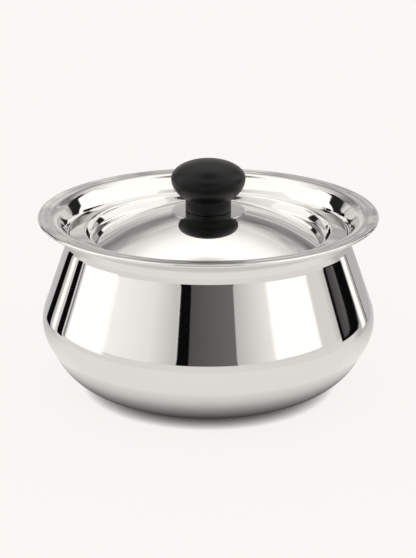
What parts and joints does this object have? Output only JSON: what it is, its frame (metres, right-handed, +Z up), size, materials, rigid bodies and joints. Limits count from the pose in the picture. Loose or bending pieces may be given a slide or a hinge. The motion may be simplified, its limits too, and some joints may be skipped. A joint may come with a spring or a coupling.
{
  "type": "handi cooking pot with lid",
  "caption": "Round-bellied polished steel handi with a narrow neck, a wide flange and an inset domed lid with a black mushroom knob.",
  "frame": {"origin": "middle of the flat base, where the pot stands", "axes": "+Z up along the pot's axis of revolution; -Y towards the viewer of the picture"},
  "size_m": [0.22, 0.22, 0.1515],
  "materials": {
    "pot_steel": "mirror-polished stainless steel",
    "lid_steel": "polished stainless steel with a faint circular grain",
    "knob_black": "satin moulded phenolic resin",
    "insert_brass": "machined",
    "screw_steel": "satin stainless steel"
  },
  "bodies": {
    "root": {"pot_shell": "pot_steel", "lid_plate": "lid_steel", "lid_knob": "knob_black", "knob_insert": "insert_brass", "knob_screw": "screw_steel", "screw_washer": "screw_steel"}
  },
  "joints": []
}
